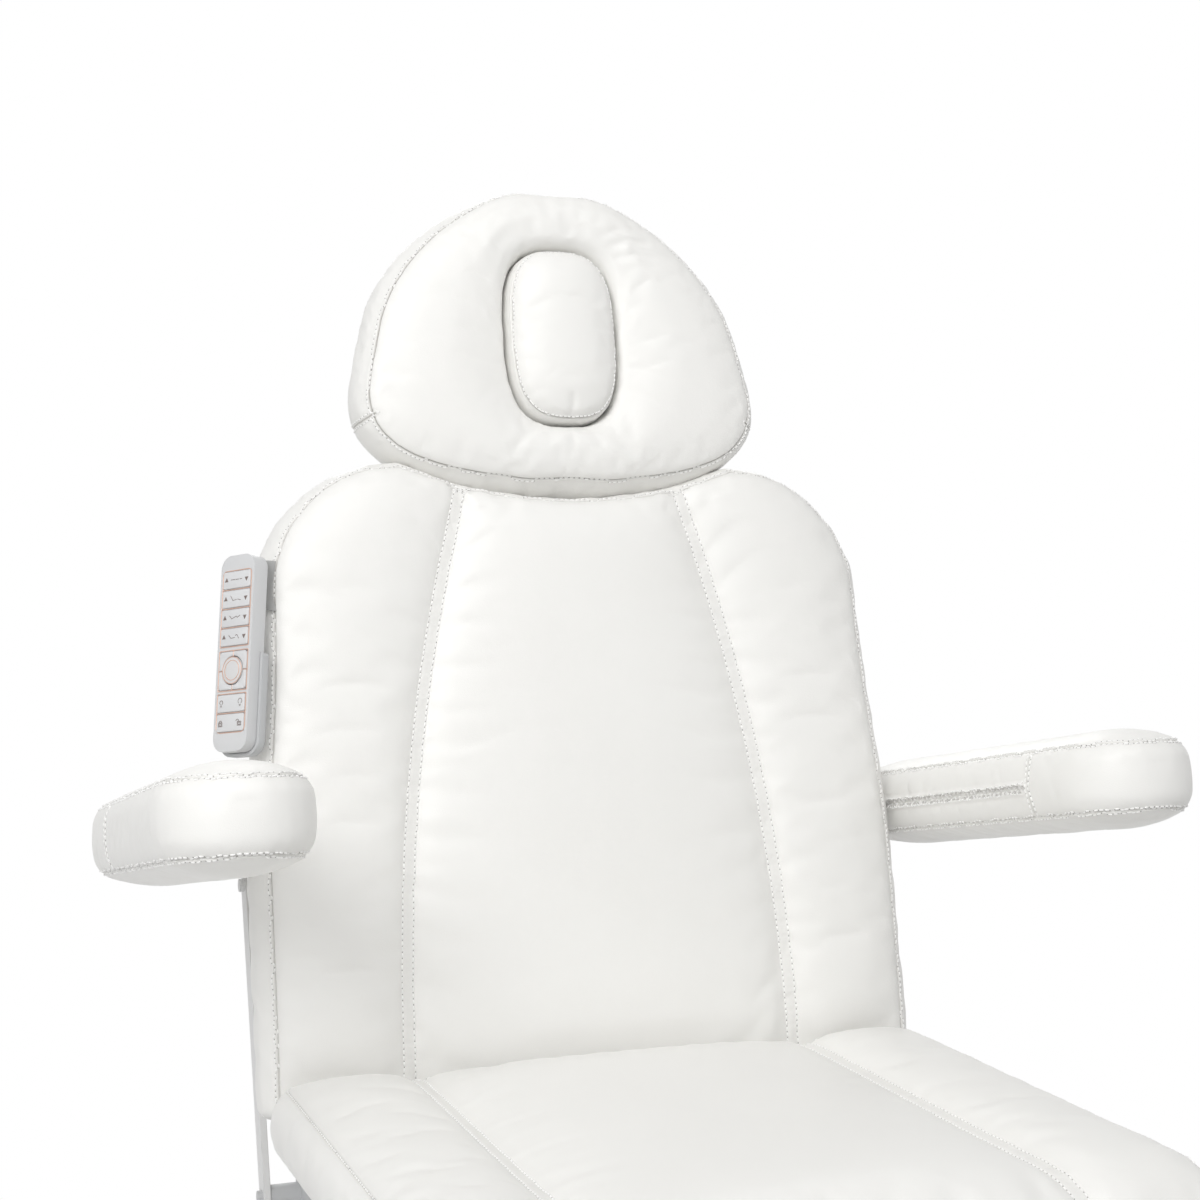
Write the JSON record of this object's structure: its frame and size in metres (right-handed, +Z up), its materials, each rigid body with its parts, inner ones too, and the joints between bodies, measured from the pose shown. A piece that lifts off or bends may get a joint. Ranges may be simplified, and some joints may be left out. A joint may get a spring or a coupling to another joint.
{
  "type": "electric treatment chair",
  "caption": "Upholstered electric treatment chair: seat, reclining backrest, leg rest, headrest with face hole and arm pads on a lifting column.",
  "frame": {"origin": "on the floor, on the axis of the lifting column, at the middle of the chair's width", "axes": "+X to the sitter's left, -Y the way the sitter faces, +Z up"},
  "size_m": [0.89, 0.9158, 1.4077],
  "materials": {
    "upholstery": "satin",
    "shell": "satin",
    "panel": "satin",
    "frame": "matte",
    "steel": "satin",
    "chrome": "polished",
    "ply": "matte",
    "black_plastic": "matte",
    "rubber": "matte",
    "aluminium": "satin",
    "handset": "satin",
    "key": "satin",
    "copper_key": "satin",
    "red": "gloss"
  },
  "bodies": {
    "base": {"base_plate": "frame", "base_cover": "shell", "levelling_feet": "rubber", "control_box": "black_plastic", "power_inlet": "black_plastic", "column_outer": "aluminium", "lift_actuator": "aluminium"},
    "mains_switch": {"mains_switch": "red"},
    "column_middle": {"column_middle": "aluminium", "lift_sleeve": "steel"},
    "column_top": {"column_inner": "aluminium", "column_head": "frame", "lift_rod": "chrome"},
    "tilt_actuator": {"tilt_actuator": "aluminium"},
    "tilt_rod": {"tilt_rod": "chrome"},
    "seat": {"seat_frame": "frame", "seat_board": "ply", "seat_cushion": "upholstery", "side_covers": "panel", "hinge_pins": "steel"},
    "back_actuator": {"back_actuator": "aluminium"},
    "back_rod": {"back_rod": "chrome"},
    "leg_actuator": {"leg_actuator": "aluminium"},
    "leg_rod": {"leg_rod": "chrome"},
    "backrest": {"back_frame": "frame", "back_board": "ply", "back_cushion": "upholstery", "headrest_socket": "frame", "handset_holder": "panel"},
    "clamp_knob": {"clamp_knob": "black_plastic"},
    "headrest_slider": {"headrest_posts": "chrome", "headrest_yoke": "black_plastic"},
    "headrest": {"headrest_bracket": "steel", "headrest_board": "ply", "headrest_cushion": "upholstery"},
    "face_plug": {"face_plug": "upholstery"},
    "leg_rest": {"leg_frame": "frame", "leg_board": "ply", "leg_cushion": "upholstery"},
    "arm_carrier_left": {"arm_carrier_left": "steel"},
    "arm_link_left": {"arm_link_left": "steel"},
    "armrest_left": {"arm_bar_left": "steel", "arm_pad_left": "upholstery"},
    "arm_carrier_right": {"arm_carrier_right": "steel"},
    "arm_link_right": {"arm_link_right": "steel"},
    "armrest_right": {"arm_bar_right": "steel", "arm_pad_right": "upholstery"},
    "handset": {"handset_body": "handset"},
    "key_lift": {"key_lift": "key"},
    "key_back": {"key_back": "key"},
    "key_tilt": {"key_tilt": "key"},
    "key_leg": {"key_leg": "key"},
    "key_light": {"key_light": "key"},
    "key_lock": {"key_lock": "key"},
    "key_seat_up": {"key_seat_up": "key"},
    "key_seat_down": {"key_seat_down": "key"},
    "key_memory_a": {"key_memory_a": "key"},
    "key_memory_b": {"key_memory_b": "key"},
    "key_centre": {"key_centre": "copper_key"}
  },
  "joints": [
    {"name": "lift", "type": "slide", "parent": "base", "child": "column_middle", "axis": [0, 0, 1], "range_m": [0, 0.15]},
    {"name": "lift_inner", "type": "slide", "parent": "column_middle", "child": "column_top", "axis": [0, 0, 1], "range_m": [0, 0.15]},
    {"name": "seat_tilt", "type": "hinge", "parent": "column_top", "child": "seat", "pos_m": [0, 0, 0.44], "axis": [-1, 0, 0], "range_deg": [0, 15]},
    {"name": "tilt_actuator_swing", "type": "hinge", "parent": "column_top", "child": "tilt_actuator", "pos_m": [0, -0.15, 0.25], "axis": [-1, 0, 0], "range_deg": [0, 5.09]},
    {"name": "tilt_rod_slide", "type": "slide", "parent": "tilt_actuator", "child": "tilt_rod", "axis": [0, -0.1728, 0.985], "range_m": [0, 0.04551]},
    {"name": "recline", "type": "hinge", "parent": "seat", "child": "backrest", "pos_m": [0, 0.262, 0.536], "axis": [-1, 0, 0], "range_deg": [0, 79]},
    {"name": "back_actuator_swing", "type": "hinge", "parent": "seat", "child": "back_actuator", "pos_m": [0, 0.012, 0.451], "axis": [-1, 0, 0], "range_deg": [0, 2.91]},
    {"name": "back_rod_slide", "type": "slide", "parent": "back_actuator", "child": "back_rod", "axis": [0, 0.9895, 0.1443], "range_m": [-0.08818, 0]},
    {"name": "leg_raise", "type": "hinge", "parent": "seat", "child": "leg_rest", "pos_m": [0, -0.293, 0.52], "axis": [-1, 0, 0], "range_deg": [0, 78]},
    {"name": "leg_actuator_swing", "type": "hinge", "parent": "seat", "child": "leg_actuator", "pos_m": [0, -0.015, 0.455], "axis": [-1, 0, 0], "range_deg": [0, 6.2]},
    {"name": "leg_rod_slide", "type": "slide", "parent": "leg_actuator", "child": "leg_rod", "axis": [0, -0.9999, -0.01], "range_m": [0, 0.08217]},
    {"name": "arm_carrier_left_level", "type": "hinge", "parent": "backrest", "child": "arm_carrier_left", "pos_m": [0.299, 0.34463, 0.79998], "axis": [-1, 0, 0], "range_deg": [-79, 0]},
    {"name": "arm_link_left_swing", "type": "hinge", "parent": "seat", "child": "arm_link_left", "pos_m": [0.306, 0.262, 0.491], "axis": [-1, 0, 0], "range_deg": [0, 79]},
    {"name": "armrest_left_swing", "type": "hinge", "parent": "arm_carrier_left", "child": "armrest_left", "pos_m": [0.385, 0.37279, 0.79752], "axis": [0, 0.165, 0.9863], "range_deg": [0, 90]},
    {"name": "arm_carrier_right_level", "type": "hinge", "parent": "backrest", "child": "arm_carrier_right", "pos_m": [-0.299, 0.34463, 0.79998], "axis": [-1, 0, 0], "range_deg": [-79, 0]},
    {"name": "arm_link_right_swing", "type": "hinge", "parent": "seat", "child": "arm_link_right", "pos_m": [-0.306, 0.262, 0.491], "axis": [-1, 0, 0], "range_deg": [0, 79]},
    {"name": "armrest_right_swing", "type": "hinge", "parent": "arm_carrier_right", "child": "armrest_right", "pos_m": [-0.385, 0.37279, 0.79752], "axis": [0, -0.165, -0.9863], "range_deg": [0, 90]},
    {"name": "headrest_slide", "type": "slide", "parent": "backrest", "child": "headrest_slider", "axis": [0, 0.1908, 0.9816], "range_m": [0, 0.08]},
    {"name": "headrest_tilt", "type": "hinge", "parent": "headrest_slider", "child": "headrest", "pos_m": [0, 0.40506, 1.15803], "axis": [-1, 0, 0], "range_deg": [0, 30]},
    {"name": "face_plug_lift", "type": "slide", "parent": "headrest", "child": "face_plug", "axis": [0, -0.9816, 0.1908], "range_m": [0, 0.12]},
    {"name": "clamp_knob_turn", "type": "hinge", "parent": "backrest", "child": "clamp_knob", "pos_m": [0.0823, 0.4145, 1.04414], "axis": [1, 0, 0], "range_deg": [0, 270]},
    {"name": "handset_lift", "type": "slide", "parent": "backrest", "child": "handset", "axis": [0.0872, 0.1901, 0.9779], "range_m": [0, 0.15]},
    {"name": "key_lift_press", "type": "hinge", "parent": "handset", "child": "key_lift", "pos_m": [-0.32265, 0.29091, 1.03624], "axis": [0.0872, 0.1901, 0.9779], "range_deg": [-2.2, 2.2], "stiffness_Nm_per_rad": 0.02},
    {"name": "key_back_press", "type": "hinge", "parent": "handset", "child": "key_back", "pos_m": [-0.32415, 0.28764, 1.01942], "axis": [0.0872, 0.1901, 0.9779], "range_deg": [-2.2, 2.2], "stiffness_Nm_per_rad": 0.02},
    {"name": "key_tilt_press", "type": "hinge", "parent": "handset", "child": "key_tilt", "pos_m": [-0.32565, 0.28437, 1.0026], "axis": [0.0872, 0.1901, 0.9779], "range_deg": [-2.2, 2.2], "stiffness_Nm_per_rad": 0.02},
    {"name": "key_leg_press", "type": "hinge", "parent": "handset", "child": "key_leg", "pos_m": [-0.32715, 0.2811, 0.98578], "axis": [0.0872, 0.1901, 0.9779], "range_deg": [-2.2, 2.2], "stiffness_Nm_per_rad": 0.02},
    {"name": "key_light_press", "type": "hinge", "parent": "handset", "child": "key_light", "pos_m": [-0.33231, 0.26985, 0.92789], "axis": [0.0872, 0.1901, 0.9779], "range_deg": [-2.2, 2.2], "stiffness_Nm_per_rad": 0.02},
    {"name": "key_lock_press", "type": "hinge", "parent": "handset", "child": "key_lock", "pos_m": [-0.3338, 0.26658, 0.91107], "axis": [0.0872, 0.1901, 0.9779], "range_deg": [-2.2, 2.2], "stiffness_Nm_per_rad": 0.02},
    {"name": "key_seat_up_press", "type": "slide", "parent": "handset", "child": "key_seat_up", "axis": [0.8355, 0.5207, -0.1757], "range_m": [0, 0.0008], "stiffness_N_per_m": 200},
    {"name": "key_seat_down_press", "type": "slide", "parent": "handset", "child": "key_seat_down", "axis": [0.8355, 0.5207, -0.1757], "range_m": [0, 0.0008], "stiffness_N_per_m": 200},
    {"name": "key_memory_a_press", "type": "slide", "parent": "handset", "child": "key_memory_a", "axis": [0.8355, 0.5207, -0.1757], "range_m": [0, 0.0008], "stiffness_N_per_m": 200},
    {"name": "key_memory_b_press", "type": "slide", "parent": "handset", "child": "key_memory_b", "axis": [0.8355, 0.5207, -0.1757], "range_m": [0, 0.0008], "stiffness_N_per_m": 200},
    {"name": "key_centre_press", "type": "slide", "parent": "handset", "child": "key_centre", "axis": [0.8355, 0.5207, -0.1757], "range_m": [0, 0.0008], "stiffness_N_per_m": 200},
    {"name": "mains_switch_rock", "type": "hinge", "parent": "base", "child": "mains_switch", "pos_m": [0, 0.412, 0.037], "axis": [1, 0, 0], "range_deg": [0, 14]}
  ],
  "couplings": [
    {"joint": "lift_inner", "follows": "lift", "ratio": 1},
    {"joint": "tilt_actuator_swing", "follows": "seat_tilt", "ratio": 0.33617},
    {"joint": "tilt_rod_slide", "follows": "seat_tilt", "m_per_rad": 0.17347},
    {"joint": "back_actuator_swing", "follows": "recline", "ratio": 0.036162},
    {"joint": "back_rod_slide", "follows": "recline", "m_per_rad": -0.063878},
    {"joint": "leg_actuator_swing", "follows": "leg_raise", "ratio": 0.078861},
    {"joint": "leg_rod_slide", "follows": "leg_raise", "m_per_rad": 0.060282},
    {"joint": "arm_carrier_left_level", "follows": "recline", "ratio": -1},
    {"joint": "arm_link_left_swing", "follows": "recline", "ratio": 1},
    {"joint": "arm_carrier_right_level", "follows": "recline", "ratio": -1},
    {"joint": "arm_link_right_swing", "follows": "recline", "ratio": 1}
  ]
}
